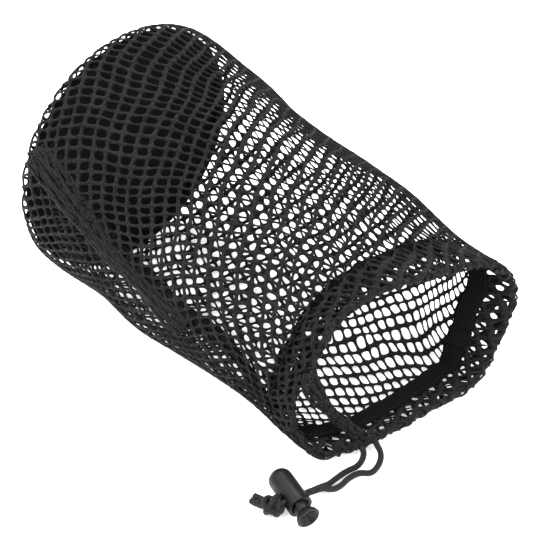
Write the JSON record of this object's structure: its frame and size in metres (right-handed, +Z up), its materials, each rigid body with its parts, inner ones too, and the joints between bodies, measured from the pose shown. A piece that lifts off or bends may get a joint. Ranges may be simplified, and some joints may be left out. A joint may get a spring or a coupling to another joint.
{
  "type": "mesh ball bag",
  "caption": "Drawstring net bag for balls, lying on its side with the mouth open: round cloth base, net wall, folded hem with inside tape, drawcord, spring cord lock and end knot.",
  "frame": {"origin": "middle of the bag's footprint on the surface it lies on, without the loose drawcord ends", "axes": "+X from the round base towards the open mouth, +Z up"},
  "size_m": [0.2011, 0.1738, 0.1388],
  "materials": {
    "net": "knitted net",
    "base_cloth": "plain woven cloth",
    "binding": "woven binding",
    "tape": "smooth woven tape",
    "thread": "sewing thread",
    "cord": "braided cord",
    "lock_plastic": "fine moulded texture",
    "spring_wire": "drawn wire"
  },
  "bodies": {
    "bag": {"net_tube": "net", "base_panel": "base_cloth", "base_seam_binding": "binding", "hem_tape": "tape", "hem_tape_lap": "tape", "hem_stitching": "thread", "side_seam": "thread", "drawcord_in_hem": "cord", "drawcord_right": "cord", "drawcord_left": "cord", "drawcord_knot": "cord", "drawcord_tail_right": "cord", "drawcord_tail_left": "cord"},
    "cord_lock": {"lock_barrel": "lock_plastic", "lock_spring": "spring_wire"},
    "plunger": {"lock_plunger": "lock_plastic"}
  },
  "joints": [
    {"name": "lock_slide", "type": "slide", "parent": "bag", "child": "cord_lock", "axis": [0.2756, 0.9613, 0], "range_m": [0, 0.004]},
    {"name": "plunger_press", "type": "slide", "parent": "cord_lock", "child": "plunger", "axis": [-0.9613, 0.2756, 0], "range_m": [0, 0.0038], "stiffness_N_per_m": 1200, "springref_m": -0.002, "deforming": ["lock_spring"]}
  ]
}
